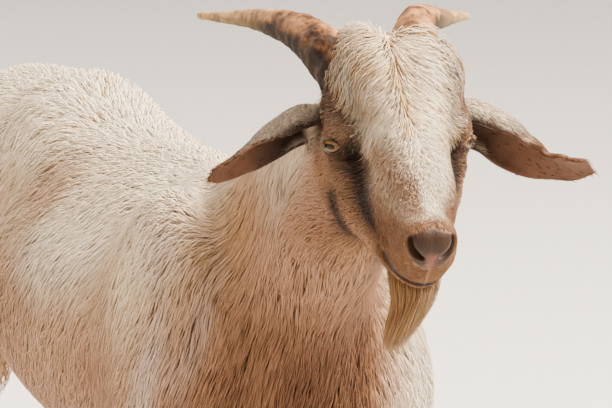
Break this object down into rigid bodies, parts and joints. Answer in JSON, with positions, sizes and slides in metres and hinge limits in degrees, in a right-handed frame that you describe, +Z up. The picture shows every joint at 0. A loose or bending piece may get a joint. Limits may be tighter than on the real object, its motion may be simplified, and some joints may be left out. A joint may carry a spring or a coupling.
{
  "type": "goat",
  "caption": "Standing life-size goat with swept-back horns, half-lop ears, a beard and a shaggy cream and tan coat, head turned a little to its right",
  "frame": {"origin": "on the floor, under the middle of the whole goat's bounding box", "axes": "+Z up; the goat faces -Y, so +Y points to its tail and +X to its left"},
  "size_m": [0.3304, 1.0964, 0.8258],
  "materials": {
    "coat": "shaggy cream and tan hair",
    "face_coat": "short cream hair with brown stripes, bare grey-brown nose",
    "leg_coat": "short tan hair",
    "ear_coat": "short grey-white hair outside, bare brown skin inside",
    "horn_sheath": "rough ridged horn",
    "hoof_horn": "satin dark horn",
    "eye": "wet and glossy, amber with a dark level pupil"
  },
  "bodies": {
    "root": {"beard": "coat", "claw_fore_left_inner": "hoof_horn", "claw_fore_left_outer": "hoof_horn", "claw_fore_right_inner": "hoof_horn", "claw_fore_right_outer": "hoof_horn", "claw_hind_left_inner": "hoof_horn", "claw_hind_left_outer": "hoof_horn", "claw_hind_right_inner": "hoof_horn", "claw_hind_right_outer": "hoof_horn", "ear_left": "ear_coat", "ear_right": "ear_coat", "eye_left": "eye", "eye_right": "eye", "foreleg_left_lower": "leg_coat", "foreleg_left_upper": "coat", "foreleg_right_lower": "leg_coat", "foreleg_right_upper": "coat", "head": "face_coat", "hindleg_left_lower": "leg_coat", "hindleg_left_upper": "coat", "hindleg_right_lower": "leg_coat", "hindleg_right_upper": "coat", "horn_left": "horn_sheath", "horn_right": "horn_sheath", "neck": "coat", "tail": "coat", "trunk": "coat"}
  },
  "joints": []
}
